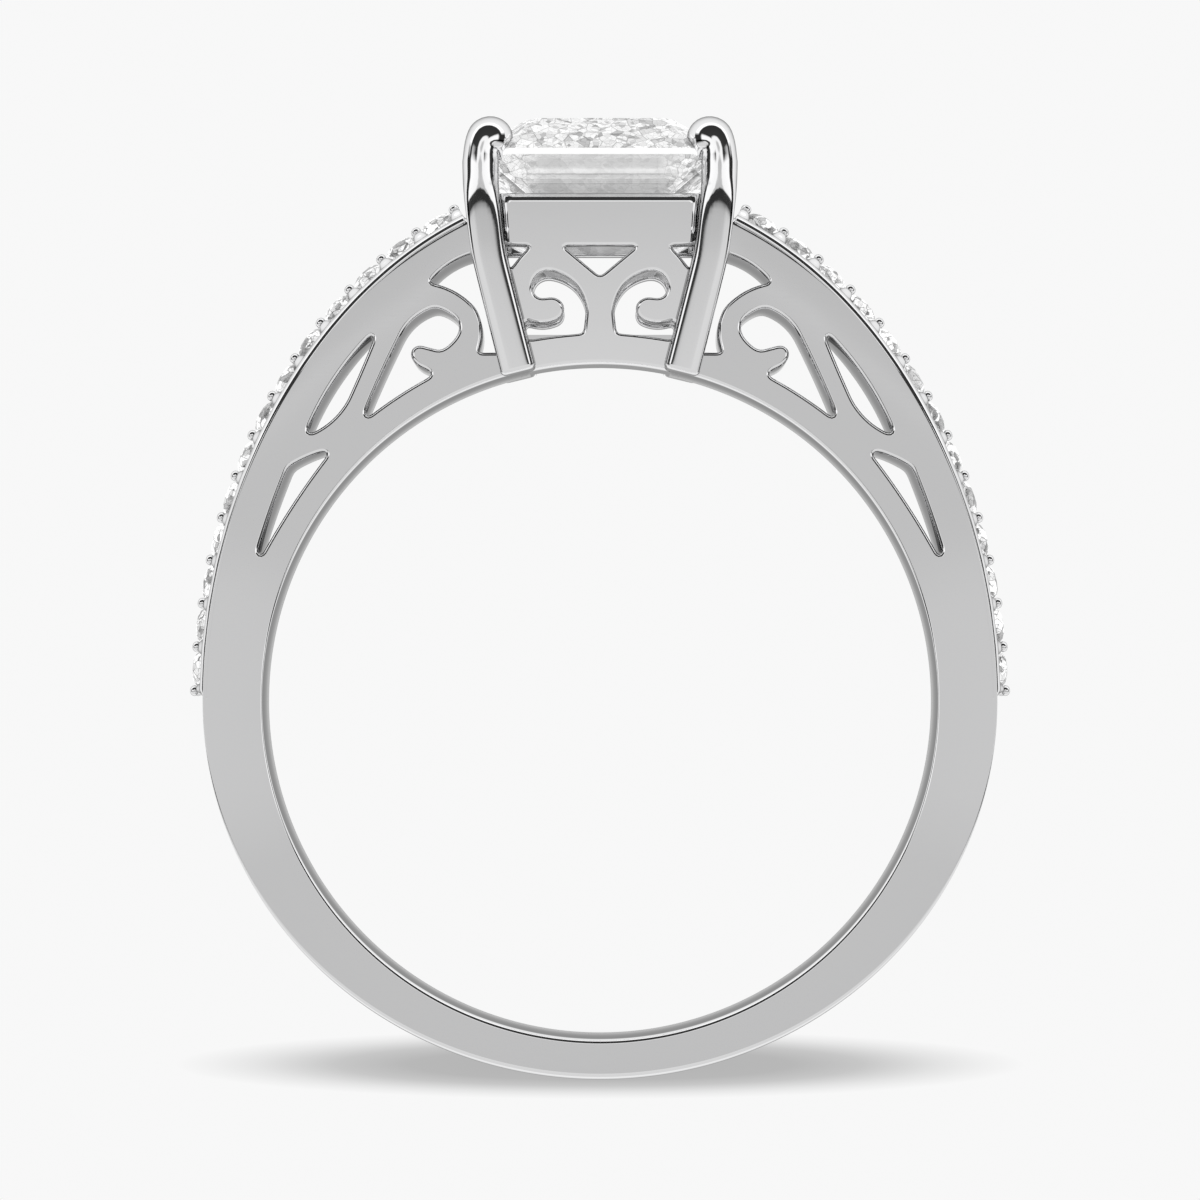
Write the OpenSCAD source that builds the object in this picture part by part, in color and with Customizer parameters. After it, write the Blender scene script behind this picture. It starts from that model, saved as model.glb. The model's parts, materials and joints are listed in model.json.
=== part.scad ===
// Finger ring: a polished white metal band with pierced scroll shoulders, a row of small round
// stones on each shoulder, and a four-claw head that holds one step-cut stone across the finger.
//
// It is drawn standing, then laid down once at the end. While it is drawn, the finger hole's axis
// is Z, its centre is the origin, Y points to the head and X runs along the long stone.
// Lengths are millimetres and angles are degrees.

/* [Finger hole] */
// Inside diameter of the ring
finger_d = 17.35; // [17.25:0.05:17.45]

/* [Band] */
// Width of the band along the finger
band_w = 2.0; // [1.8:0.1:2.2]
// Metal thickness at the bottom of the band
shank_t = 1.05; // [0.9:0.05:1.3]
// Metal thickness at the sides of the band
side_t = 1.52; // [1.4:0.05:1.6]

/* [Shoulders] */
// Height at which the shoulder curve would close over the finger hole
shoulder_y = 13.28; // [13.1:0.02:13.4]
// Fullness of the shoulder curve, where 2 is an ellipse
shoulder_full = 1.96; // [1.9:0.02:2.1]
// Rise of the bevelled rim over the shoulder, where it starts at the band
rim_rise = 0.1; // [0.06:0.02:0.14]
// Rise of the rim, where its curve would close over the finger hole
rim_rise_head = 0.24; // [0.16:0.02:0.3]
// Width of the rim's inner edge on each side of the stones
rim_in = 0.3; // [0.2:0.05:0.35]

/* [Row of stones] */
// Number of stones on each shoulder
row_count = 13; // [11:1:13]
// Diameter of each stone
row_d = 1.0; // [0.9:0.02:1.02]
// Spacing of the stones along the shoulder
row_pitch = 1.124; // [1.11:0.002:1.13]
// Where the first pair of beads stands, along the rim from the side of the band
row_start = 0.24; // [0.2:0.02:0.3]
// Height of the stones' girdles over the rim
row_girdle = 0.11; // [0.07:0.01:0.12]
// Diameter of the beads that hold the stones
bead_d = 0.28; // [0.24:0.02:0.3]
// Height of the beads over the rim
bead_h = 0.28; // [0.24:0.02:0.32]
// How far each bead stands from the middle of the row
bead_z = 0.4; // [0.36:0.01:0.42]

/* [Head] */
// Height of the rail on top of the head's walls
rail_y = 12.99; // [12.8:0.05:13.1]
// Height of the floor inside the head
floor_y = 9.45; // [9.4:0.05:9.6]
// Thickness of the head's four walls
wall_t = 0.45; // [0.4:0.05:0.5]
// How far the front wall stands from the middle at mid height
wall_z = 1.17; // [1.1:0.01:1.2]
// Lean of the front and rear walls
wall_lean = 13; // [11:0.5:14]

/* [Claws] */
// Thickness of the claw's leg at its foot
leg_foot_d = 0.9; // [0.84:0.02:0.92]
// Thickness of the claw's leg at the stone
leg_top_d = 0.92; // [0.88:0.02:0.96]
// Diameter of the rounded claw tip
tip_d = 1.18; // [1.1:0.02:1.2]

/* [Long stone] */
// Length of the stone, across the finger
stone_l = 6.0; // [5.8:0.05:6.1]
// Width of the stone, along the finger
stone_w = 4.0; // [3.9:0.05:4.1]
// Length taken off each corner
stone_corner = 0.7; // [0.6:0.05:0.8]
// Height of the stone's girdle over the centre of the finger hole
stone_y = 13.98; // [13.9:0.02:14.1]
// Space left between a stone and its metal
seat_gap = 0.03; // [0.02:0.01:0.04]

/* [Hidden] */

finger_r = finger_d / 2;
half_w = band_w / 2;

// The leg of the front left claw: foot, bend, neck, top and tip, as x, y, z
leg_foot = [-2.04, 8.25, 0.76];
leg_bend = [-2.86, 11.5, 1.62];
leg_neck = [-3.04, 12.75, 1.76];
leg_top = [-3.05, 13.95, 1.88];
claw_tip = [-2.80, 14.31, 1.64];

// Pierced openings of the left shoulder, corner by corner in a clockwise round.
// Each row is x, y and the bow of the side that follows, where a plus bows outwards.
kite = [
    [-8.80, 3.77, 0.03],
    [-8.02, 5.98, 0.04],
    [-7.08, 6.40, 0],
    [-7.00, 6.32, -0.065],
    [-8.70, 3.71, 0]
];
leaf = [
    [-7.54, 6.88, 0.145],
    [-5.88, 9.40, 0],
    [-5.82, 9.32, 0.01],
    [-6.50, 7.72, 0.11],
    [-7.46, 6.85, 0]
];
comma = [
    [-6.05, 7.34, 0.02],
    [-5.18, 9.27, 0.15],
    [-4.22, 10.12, 0.53],
    [-4.08, 8.99, 0],
    [-4.68, 9.15, -0.10],
    [-4.86, 8.78, -0.055],
    [-4.40, 8.48, 0.03],
    [-4.33, 8.35, -0.045],
    [-5.97, 7.28, 0]
];
horn = [
    [-4.39, 10.75, 0.10],
    [-3.33, 11.47, 0],
    [-2.70, 11.60, 0],
    [-2.10, 8.95, 0],
    [-3.14, 8.94, -0.14],
    [-3.20, 10.10, -0.12]
];

// Pierced openings of the head's front and rear walls, left half, in the same form
scroll = [
    [-1.75, 10.63, 0.11],
    [-1.37, 11.05, 0.25],
    [-0.36, 10.08, 0],
    [-0.43, 9.46, -0.02],
    [-1.86, 9.30, 0],
    [-2.20, 9.32, 0],
    [-2.30, 9.80, 0],
    [-1.93, 9.80, -0.12],
    [-0.98, 9.86, -0.17],
    [-1.19, 10.385, 0],
    [-1.55, 10.335, 0.05]
];
corner_window = [
    [-2.75, 11.655, 0],
    [-1.80, 11.655, -0.02],
    [-2.32, 11.07, 0]
];
centre_window = [
    [-0.94, 11.655, 0],
    [0.94, 11.655, 0],
    [0, 10.89, 0]
];

// Steps of the long stone, from its table to its keel: height over the girdle, and how far
// the step lies inside the girdle
steps = [
    [1.03, 1.08],
    [0.77, 0.70],
    [0.47, 0.33],
    [0.08, 0],
    [-0.07, 0],
    [-0.54, 0.30],
    [-0.71, 0.50],
    [-1.32, 1.25],
    [-1.92, 1.94]
];

// Row stones: shares of the diameter for table, crown, pavilion, star points and lower points,
// and the girdle's thickness in millimetres
row_table = 0.57;
row_crown = 0.15;
row_pavilion = 0.43;
row_star = 0.78;
row_lower = 0.22;
row_rim = 0.03;
row_sides = 8;

// The shoulder curve leaves the band at its outside
shoulder_x = finger_r + side_t;

// How finely bows, the shoulder curve and the band's outside are drawn
arc_steps = 6;
shallow_bow = 0.05;
edge_steps = 30;
shank_steps = 60;
curve_end = 80;

// A cut or blank that reaches well past both faces of the ring
past = 8;

// How far beads and stone beds are sunk into the metal
sunk = 0.4;
bed_depth = 0.6;

// Height at which the front wall stands wall_z from the middle
wall_mid_y = 11.0;

// The round joints of a claw are a little thicker than its legs, and the legs taper
joint_more = 0.01;
leg_less = 0.04;
tip_less = 0.06;

// Points of a side from a towards b, bowed by a sagitta to the left of the way
function bowed(a, b, bow, n) =
    bow == 0 ? [a] :
    let (
        chord = norm(b - a),
        left = [a.y - b.y, b.x - a.x] / chord,
        half = 2 * atan(2 * bow / chord),
        r = chord / 2 / sin(half),
        c = (a + b) / 2 + left * (bow - r),
        start = atan2(a.y - c.y, a.x - c.x)
    )
    [for (k = [0:n - 1]) c + abs(r) * [cos(start - 2 * half * k / n), sin(start - 2 * half * k / n)]];

// An outline from rows of x, y and bow
function outline(rows) = [
    for (i = [0:len(rows) - 1])
        let (a = rows[i], b = rows[(i + 1) % len(rows)])
        each bowed([a.x, a.y], [b.x, b.y], a.z, abs(a.z) > shallow_bow ? arc_steps : ceil(arc_steps / 2))
];

// The shoulder curve: t runs from 0 at the side of the band to 90 over the finger hole
function shoulder_point(t, grow = [0, 0]) = [
    -(shoulder_x + grow.x) * pow(cos(t), 2 / shoulder_full),
    (shoulder_y + grow.y) * pow(sin(t), 2 / shoulder_full)
];

// The top of the rim, which the beads and the row stones follow
function rim_point(t) = shoulder_point(t, [rim_rise, rim_rise_head]);
function rim_slope(t) =
    let (d = rim_point(min(t + 0.2, 90)) - rim_point(max(t - 0.2, 0)))
    atan2(d.y, d.x);

// Lengths along the rim, as pairs of length and t, for lookup()
length_step = 0.5;
function travelled(t, way) =
    t > curve_end ? [[way, t]] :
    concat(
        [[way, t]],
        travelled(t + length_step, way + norm(rim_point(t + length_step) - rim_point(t)))
    );
lengths = travelled(0, 0);
function t_at(way) = lookup(way, lengths);

function row_name(side, k) = str("row_stone_", side, "_", k < 10 ? "0" : "", k);

// Where the shoulders and the head's walls end: a little inside the line of the claws' legs
leg_in = 0.03;
function leg_x(y) = leg_in + (
    y < leg_bend.y
        ? leg_foot.x + (leg_bend.x - leg_foot.x) * (y - leg_foot.y) / (leg_bend.y - leg_foot.y)
        : leg_bend.x + (leg_top.x - leg_bend.x) * (y - leg_bend.y) / (leg_top.y - leg_bend.y)
);
function wall_front(y) = wall_z + (y - wall_mid_y) * tan(wall_lean);

// How the ring lies: it tips about X until the rear claws and the bottom of the band touch
function lie_on(centre, d) =
    let (reach = centre.y + finger_r + shank_t, drop = centre.z - half_w)
    atan(drop / reach) + asin(d / 2 / norm([reach, drop]));
lie = max(lie_on(claw_tip, tip_d), lie_on(leg_top, leg_top_d + joint_more));
lie_y_low = -(finger_r + shank_t) * cos(lie) - half_w * sin(lie);
table_y = stone_y + steps[0][0];
table_z = stone_w / 2 - steps[0][1];
lie_y_high = max(
    table_y * cos(lie) + table_z * sin(lie),
    claw_tip.y * cos(lie) + claw_tip.z * sin(lie) + tip_d / 2
);
lie_z = (finger_r + shank_t) * sin(lie) + half_w * cos(lie);

// Turns the standing ring onto its side, with its box's bottom centre at the origin
module laid_down() {
    translate([0, -(lie_y_low + lie_y_high) / 2, lie_z])
        rotate([lie, 0, 0])
            children();
}

module both_sides() {
    children();
    mirror([1, 0, 0]) children();
}

module front_and_rear() {
    children();
    mirror([0, 0, 1]) children();
}

// A slice of the standing ring: its outline from front to rear
module slice(width) {
    translate([0, 0, -width / 2])
        linear_extrude(width)
            children();
}

// A tapered round bar between two points
module bar(a, b, d_a, d_b) {
    d = b - a;
    translate(a)
        rotate([0, acos(d.z / norm(d)), atan2(d.y, d.x)])
            cylinder(h = norm(d), d1 = d_a, d2 = d_b, $fn = 48);
}

// Outline of the band and both shoulders, without the finger hole
ring_edge = concat(
    [for (k = [0:shank_steps])
        let (a = 180 + 180 * k / shank_steps)
        [(finger_r + side_t) * cos(a), (finger_r + shank_t) * sin(a)]],
    [for (k = [1:edge_steps])
        let (p = shoulder_point(curve_end * k / edge_steps)) [-p.x, p.y]],
    [for (k = [edge_steps:-1:1])
        shoulder_point(curve_end * k / edge_steps)]
);

module head_gap() {
    lap = wall_t / 2;
    y_low = leg_foot.y - 2;
    y_high = shoulder_y + 2;
    polygon([
        [leg_x(y_low) + lap, y_low],
        [leg_x(leg_bend.y) + lap, leg_bend.y],
        [leg_x(y_high) + lap, y_high],
        [-leg_x(y_high) - lap, y_high],
        [-leg_x(leg_bend.y) - lap, leg_bend.y],
        [-leg_x(y_low) - lap, y_low]
    ]);
}

// The band with its pierced shoulders
module band() {
    slice(band_w) difference() {
        polygon(ring_edge);
        head_gap();
        both_sides() {
            polygon(outline(kite));
            polygon(outline(leaf));
            polygon(outline(comma));
            polygon(outline(horn));
        }
    }
}

// The raised rim strip that carries the row of stones
module stone_bed() {
    slice(band_w - 2 * rim_in) difference() {
        polygon(concat(
            [for (k = [0:edge_steps]) rim_point(curve_end * k / edge_steps)],
            [for (k = [edge_steps:-1:0])
                shoulder_point(curve_end * k / edge_steps, [-bed_depth, -bed_depth])]
        ));
        head_gap();
    }
}

// One pair of beads, front and rear, standing on the rim
module bead_pair(way) {
    t = t_at(way);
    p = rim_point(t);
    r = bead_d / 2;
    front_and_rear()
        translate([p.x, p.y, bead_z])
            rotate([0, 0, rim_slope(t)])
                rotate([-90, 0, 0])
                    rotate_extrude($fn = 32)
                        polygon([
                            [0, -sunk], [2 * r, -sunk], [r, bead_h / 4], [r, bead_h - 0.6 * r],
                            [0.7 * r, bead_h - 0.18 * r], [0, bead_h]
                        ]);
}

module beads() {
    for (k = [0:row_count]) bead_pair(row_start + k * row_pitch);
}

// Places its children at a row stone: +Z is outwards from the rim, at the girdle
module at_row(k) {
    t = t_at(row_start + (k - 0.5) * row_pitch);
    p = rim_point(t);
    translate([p.x, p.y, 0])
        rotate([0, 0, rim_slope(t)])
            translate([0, row_girdle, 0])
                rotate([-90, 0, 0])
                    children();
}

// The cup that a row stone sits in, and the space above it
module row_seat() {
    r = row_d / 2 + seat_gap;
    deep = row_d * row_pavilion + seat_gap;
    rotate_extrude($fn = 48)
        polygon([[0, -deep - row_rim], [r, -row_rim], [r, row_d], [0, row_d]]);
}

// The four walls of the head, pierced, with an open top
module head_walls() {
    difference() {
        head_block(finger_r - shank_t, rail_y, 0);
        head_block(floor_y, rail_y + wall_t, wall_t);
        slice(past) {
            both_sides() {
                polygon(outline(scroll));
                polygon(outline(corner_window));
            }
            polygon(outline(centre_window));
        }
    }
}

// The head's solid form between two heights, drawn in by an inset on all four sides
module head_block(low, high, inset) {
    intersection() {
        slice(past) polygon([
            [leg_x(low) + inset, low],
            [leg_x(leg_bend.y) + inset, leg_bend.y],
            [leg_x(high) + inset, high],
            [-leg_x(high) - inset, high],
            [-leg_x(leg_bend.y) - inset, leg_bend.y],
            [-leg_x(low) - inset, low]
        ]);
        rotate([0, -90, 0])
            slice(past) polygon([
                [wall_front(low) - inset, low],
                [wall_front(high) - inset, high],
                [inset - wall_front(high), high],
                [inset - wall_front(low), low]
            ]);
    }
}

// One claw: a bent leg and a round tip that leans over the stone's corner
module claw() {
    bend_d = leg_top_d - leg_less;
    bar(leg_foot, leg_bend, leg_foot_d, bend_d);
    translate(leg_bend) sphere(d = bend_d + joint_more, $fn = 48);
    bar(leg_bend, leg_neck, bend_d, leg_top_d);
    translate(leg_neck) sphere(d = leg_top_d + joint_more, $fn = 48);
    bar(leg_neck, leg_top, leg_top_d, leg_top_d);
    translate(leg_top) sphere(d = leg_top_d + joint_more, $fn = 48);
    bar(leg_top, claw_tip, leg_top_d, tip_d - tip_less);
    translate(claw_tip) sphere(d = tip_d, $fn = 48);
}

// Rings of eight points for a step-cut stone, one for each step
function step_ring(h, inset, grow) =
    let (
        x = stone_l / 2 - inset + grow,
        z = stone_w / 2 - inset + grow,
        c = stone_corner * (1 - inset / (stone_w / 2))
    )
    [
        [x, h, z - c], [x - c, h, z], [c - x, h, z], [-x, h, z - c],
        [-x, h, c - z], [c - x, h, -z], [x - c, h, -z], [x, h, c - z]
    ];

// A closed solid from rings of the same number of points, listed from the top down
module ringed_solid(rings) {
    n = len(rings[0]);
    last = (len(rings) - 1) * n;
    polyhedron(
        points = [for (ring = rings) each ring],
        faces = concat(
            [[for (i = [0:n - 1]) i]],
            [for (r = [0:len(rings) - 2]) for (i = [0:n - 1])
                [r * n + (i + 1) % n, r * n + i, (r + 1) * n + i, (r + 1) * n + (i + 1) % n]],
            [[for (i = [n - 1:-1:0]) last + i]]
        )
    );
}

module long_stone(grow = 0) {
    last = len(steps) - 1;
    translate([0, stone_y, 0])
        ringed_solid([for (i = [0:last])
            step_ring(steps[i][0] + (i == 0 ? grow : i == last ? -grow : 0), steps[i][1], grow)]);
}

// A round stone with a table, stars, mains and halves, its girdle at the origin and +Z up
module round_stone() {
    n = row_sides;
    r = row_d / 2;
    turn = 360 / n;
    crown = row_d * row_crown;
    deep = row_d * row_pavilion;
    table_r = r * row_table;
    star_r = r * row_star;
    lower_r = r * row_lower;
    // A star or lower point lies in the plane of the mains on both sides of it
    star_h = crown - crown * (star_r * cos(turn / 2) - table_r) / (r - table_r);
    lower_h = -deep + deep * lower_r * cos(turn / 2) / r;
    rim_low = -row_rim;
    function ring(rad, h, from, count) =
        [for (i = [0:count - 1]) [rad * cos(from + i * 360 / count), rad * sin(from + i * 360 / count), h]];
    points = concat(
        ring(table_r, crown, 0, n),
        ring(star_r, star_h, turn / 2, n),
        ring(r, 0, 0, 2 * n),
        ring(r, rim_low, 0, 2 * n),
        ring(lower_r, lower_h + rim_low, turn / 2, n),
        [[0, 0, rim_low - deep]]
    );
    table = 0;
    star = n;
    top = 2 * n;
    low = 4 * n;
    under = 6 * n;
    culet = 7 * n;
    function next(i) = (i + 1) % n;
    function girdle(base, i) = base + i % (2 * n);
    polyhedron(points = points, faces = concat(
        [[for (i = [n - 1:-1:0]) table + i]],
        [for (i = [0:n - 1]) [table + i, table + next(i), star + i]],
        [for (i = [0:n - 1]) [table + next(i), girdle(top, 2 * i + 2), star + i]],
        [for (i = [0:n - 1]) [table + i, star + i, girdle(top, 2 * i)]],
        [for (i = [0:n - 1]) [star + i, girdle(top, 2 * i + 1), girdle(top, 2 * i)]],
        [for (i = [0:n - 1]) [star + i, girdle(top, 2 * i + 2), girdle(top, 2 * i + 1)]],
        [for (i = [0:2 * n - 1])
            [girdle(top, i), girdle(top, i + 1), girdle(low, i + 1), girdle(low, i)]],
        [for (i = [0:n - 1]) [under + i, girdle(low, 2 * i), girdle(low, 2 * i + 1)]],
        [for (i = [0:n - 1]) [under + i, girdle(low, 2 * i + 1), girdle(low, 2 * i + 2)]],
        [for (i = [0:n - 1]) [under + i, girdle(low, 2 * i + 2), culet]],
        [for (i = [0:n - 1]) [under + i, culet, girdle(low, 2 * i)]]
    ));
}

// The standing metal before the beads: band, rims, head and claws, cut for the finger and the stones
module seated_metal() {
    difference() {
        union() {
            band();
            head_walls();
            both_sides() {
                front_and_rear() claw();
                stone_bed();
            }
        }
        cylinder(h = past, r = finger_r, center = true, $fn = 96);
        long_stone(seat_gap);
        both_sides() for (k = [1:row_count]) at_row(k) row_seat();
    }
}

// All the metal, cast and soldered as one
module ring_body() {
    color("silver") laid_down() {
        seated_metal();
        both_sides() beads();
    }
}

module centre_stone() {
    color("white") laid_down() long_stone();
}

module row_stone(side, k) {
    color("white") laid_down()
        mirror([side == "right" ? 1 : 0, 0, 0])
            at_row(k) round_stone();
}

ring_body();
centre_stone();
for (side = ["left", "right"]) for (k = [1:row_count])
    row_stone(side, k);
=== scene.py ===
# %% [markdown]
# # A white gold ring with a step-cut stone
#
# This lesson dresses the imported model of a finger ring. The ring lies on its side on a pale table,
# as a ring does when it is put down, and the camera looks at it from above, straight through the
# finger hole. The model arrives as a frame that stays where it is: new pieces are built around it,
# in the same place and at the same size. Its box is kept, so that the finished ring can be
# compared with it at the end.

# %% Load the frame
import json
import math

import bmesh
import bpy
import numpy as np
from mathutils import Matrix, Vector


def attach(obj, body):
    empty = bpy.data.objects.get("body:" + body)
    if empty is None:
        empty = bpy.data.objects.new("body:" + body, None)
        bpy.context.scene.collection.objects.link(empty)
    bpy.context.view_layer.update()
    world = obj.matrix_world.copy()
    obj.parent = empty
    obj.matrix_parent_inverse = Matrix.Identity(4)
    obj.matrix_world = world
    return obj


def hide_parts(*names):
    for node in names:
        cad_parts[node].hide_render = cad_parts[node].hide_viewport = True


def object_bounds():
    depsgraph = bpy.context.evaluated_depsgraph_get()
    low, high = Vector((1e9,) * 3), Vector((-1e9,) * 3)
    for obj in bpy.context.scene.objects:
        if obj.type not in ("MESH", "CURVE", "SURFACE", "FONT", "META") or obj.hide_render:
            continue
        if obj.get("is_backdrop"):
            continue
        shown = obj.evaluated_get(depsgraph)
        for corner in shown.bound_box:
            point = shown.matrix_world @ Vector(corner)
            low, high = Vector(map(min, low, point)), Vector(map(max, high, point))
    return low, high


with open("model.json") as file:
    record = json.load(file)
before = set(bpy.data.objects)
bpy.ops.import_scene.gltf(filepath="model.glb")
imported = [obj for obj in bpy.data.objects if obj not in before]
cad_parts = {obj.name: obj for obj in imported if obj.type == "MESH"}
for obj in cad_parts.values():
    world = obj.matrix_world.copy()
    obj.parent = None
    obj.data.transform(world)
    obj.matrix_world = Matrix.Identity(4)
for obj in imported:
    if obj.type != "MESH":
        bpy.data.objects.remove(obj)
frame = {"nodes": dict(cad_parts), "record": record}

cad_box = [list(corner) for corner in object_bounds()]
print("solids:", len(frame["nodes"]), "box:", cad_box)

# %% [markdown]
# ## The standing frame
#
# A jeweller thinks of a ring as standing up: the finger goes along Z, the head is up along Y and X
# runs to the right. All the pieces are drawn that way, in millimetres, and laid down at the end by
# one matrix. The record's finger hole says where the hole's centre is and how its axis leans.

# %% Lay the standing ring down
MM = 0.001
finger_hole = next(m for m in frame["record"]["mounts"] if m["name"] == "finger_hole")
finger_axis = Vector(finger_hole["axis"])
laid_down = (
    Matrix.Translation(finger_hole["pos_m"])
    @ Vector((0, 0, 1)).rotation_difference(finger_axis).to_matrix().to_4x4()
    @ Matrix.Scale(MM, 4)
)
FINGER_R = finger_hole["dims"]["r_mm"]
HALF_W = finger_hole["dims"]["length_mm"] / 2
print("finger hole radius", FINGER_R, "mm, half width", HALF_W, "mm")

# %% [markdown]
# ## The camera
#
# The photograph was taken along the finger's axis, from about nine centimetres away, with the
# whole ring a little below the middle of the picture. The camera stands on the same axis here. It
# is tipped slightly towards the head, which puts the ring in the same place in the frame.

# %% Place the camera
CAMERA_FAR = 89.9
CAMERA_TIP = math.radians(1.654)
SENSOR = 36.0
LENS = 103.93

camera_data = bpy.data.cameras.new("camera")
camera_data.sensor_width = SENSOR
camera_data.lens = LENS
camera_data.clip_start, camera_data.clip_end = 0.001, 10
camera = bpy.data.objects.new("camera", camera_data)
bpy.context.scene.collection.objects.link(camera)
bpy.context.scene.camera = camera
upright = laid_down @ Matrix.Scale(1 / MM, 4)
camera.matrix_world = (
    Matrix.Translation(laid_down @ Vector((0, 0, CAMERA_FAR)))
    @ upright.to_3x3().to_4x4()
    @ Matrix.Rotation(CAMERA_TIP, 4, "X")
)
print("camera at", [round(c, 4) for c in camera.matrix_world.translation])

# %% [markdown]
# ## Short words for shader maths
#
# A material is easier to read as a sum than as a web of nodes. This class wraps the output of a
# node, so that `0.05 + 0.03 * grain` adds the Math nodes by itself.

# %% Wrap sockets
class Value:
    def __init__(self, tree, socket):
        self.tree, self.socket = tree, socket

    def maths(self, operation, *others):
        return node(self.tree, "ShaderNodeMath", {"operation": operation}, self, *others)[0]

    def __add__(self, other): return self.maths("ADD", other)
    def __radd__(self, other): return self.maths("ADD", other)
    def __mul__(self, other): return self.maths("MULTIPLY", other)
    def __rmul__(self, other): return self.maths("MULTIPLY", other)
    def __sub__(self, other): return self.maths("SUBTRACT", other)
    def __rsub__(self, other): return (self * -1) + other


print("sums can be written with", Value.__name__)

# %% [markdown]
# Any other node comes from one function, which sets the node first and then fills its inputs with
# numbers or links. Ramps are used so often that they get a short word of their own.

# %% Add nodes in one way
def node(tree, kind, settings=None, *inputs, **named):
    """Adds a node, sets it, then fills its inputs by order or by name, and gives its outputs."""
    made = tree.nodes.new(kind)
    for key, value in (settings or {}).items():
        if key == "stops":
            ramp = made.color_ramp
            while len(ramp.elements) < len(value):
                ramp.elements.new(0.5)
            for element, (place, colour) in zip(ramp.elements, value):
                element.position = place
                element.color = colour if isinstance(colour, tuple) else (colour, colour, colour, 1)
        else:
            setattr(made, key, value)
    for name, value in list(enumerate(inputs)) + list(named.items()):
        socket = made.inputs[name if isinstance(name, int) else name.replace("_", " ")]
        if isinstance(value, Value):
            tree.links.new(value.socket, socket)
        else:
            socket.default_value = value
    return [Value(tree, output) for output in made.outputs]


def ramp(value, *stops):
    """Greys by a value: each stop is a place from 0 to 1 and the grey there."""
    return node(value.tree, "ShaderNodeValToRGB", {"stops": stops}, value)[0]


def fresh_material(name):
    material = bpy.data.materials.new(name)
    material.use_nodes = True
    tree = material.node_tree
    tree.nodes.clear()
    return material, tree


print("shader words ready")

# %% [markdown]
# ## Polished white gold
#
# The metal is polished like a mirror, so it has hardly any look of its own: its greys are the room
# that it reflects. A real polish still waves a little and carries hairline wipes from the cloth.
# Two noises do that here. The slow one bends the reflections softly, and the fine one is drawn out
# into hairlines that only change the roughness.

# %% Mix the white gold
GOLD, GOLD_RIM = (0.92, 0.92, 0.925, 1), (0.30, 0.30, 0.30, 1)
POLISH, WIPES = 0.03, 0.03
WAVE_DEPTH = 2e-6

white_gold, tree = fresh_material("white gold")
place = node(tree, "ShaderNodeTexCoord")[3]
wave = node(tree, "ShaderNodeTexNoise", None, Vector=place, Scale=420.0, Detail=1.0)[0]
wiped = node(tree, "ShaderNodeMapping", None, Vector=place, Rotation=(0.2, 0.3, 0.7),
             Scale=(1.0, 14.0, 3.0))[0]
hairs = node(tree, "ShaderNodeTexNoise", None, Vector=wiped, Scale=1500.0, Detail=3.0)[0]
bump = node(tree, "ShaderNodeBump", None, Strength=1.0, Distance=WAVE_DEPTH, Height=wave)[0]
shine = node(tree, "ShaderNodeBsdfPrincipled", None, Metallic=1.0, Base_Color=GOLD,
             Specular_Tint=GOLD_RIM, Roughness=POLISH + WIPES * hairs, Normal=bump)[0]
node(tree, "ShaderNodeOutputMaterial", None, shine)
print("metal:", white_gold.name)

# %% [markdown]
# ## Rings of points
#
# Nearly every form here is made in one way: a closed ring of points is drawn, its edges are
# extruded, and the new points are moved to their next place. The band's rounded edges, the claws
# and the head's walls all grow like that. The ring is the same on the left and on the right, so
# most pieces are made once and mirrored.

# %% Draw, pull and mirror rings
def smooth_step(low, high, value):
    t = min(1.0, max(0.0, (value - low) / (high - low)))
    return t * t * (3 - 2 * t)


def wire(bm, points):
    ring = [bm.verts.new(p) for p in points]
    for a, b in zip(ring, ring[1:] + ring[:1]):
        bm.edges.new((a, b))
    return ring


def sides_of(bm, ring):
    return [bm.edges.get(pair) for pair in zip(ring, ring[1:] + ring[:1])]


def pull(bm, ring, points):
    """Extrudes a ring's edges and moves the new points; gives the new ring in the same order."""
    made = bmesh.ops.extrude_edge_only(bm, edges=sides_of(bm, ring))["geom"]
    new = {g for g in made if isinstance(g, bmesh.types.BMVert)}
    ring = [next(e.other_vert(v) for e in v.link_edges if e.other_vert(v) in new) for v in ring]
    for vert, point in zip(ring, points):
        vert.co = point
    return ring


def mirror(bm, axis, merge_dist=-1):
    bmesh.ops.mirror(bm, geom=bm.verts[:] + bm.edges[:] + bm.faces[:], matrix=Matrix(),
                     merge_dist=merge_dist, axis=axis)


def shade_smooth(bm):
    for face in bm.faces:
        face.smooth = True


print("ring words ready")

# %% [markdown]
# ## Plates with rounded rims
#
# The band and the head's walls are sawn from plate, and then their rims are rounded with a file.
# Each rim is a ring that grows inwards while it rises, so its section is an arc. A cap of triangles
# then closes the flat side. The cap is shaded flat and all the rest smooth, which is how polished
# flats with crisp edges look.

# %% Round and cap a plate
MITRE_LIMIT = 0.7
EDGE_STEPS, MIDDLE_STRIP, MERGE = 5, 0.02, 1e-4


def inward(points):
    """For each point of a ring that has its metal on the left, the way into the metal."""
    ways = []
    for before, here, after in zip(points[-1:] + points[:-1], points, points[1:] + points[:1]):
        back, on = (here - before).normalized(), (after - here).normalized()
        way = Vector((-(back + on).y, (back + on).x))
        half_turn = math.sqrt(max(0.0, (1 + back.dot(on)) / 2))
        ways.append(way.normalized() / max(MITRE_LIMIT, half_turn))
    return ways


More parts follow.
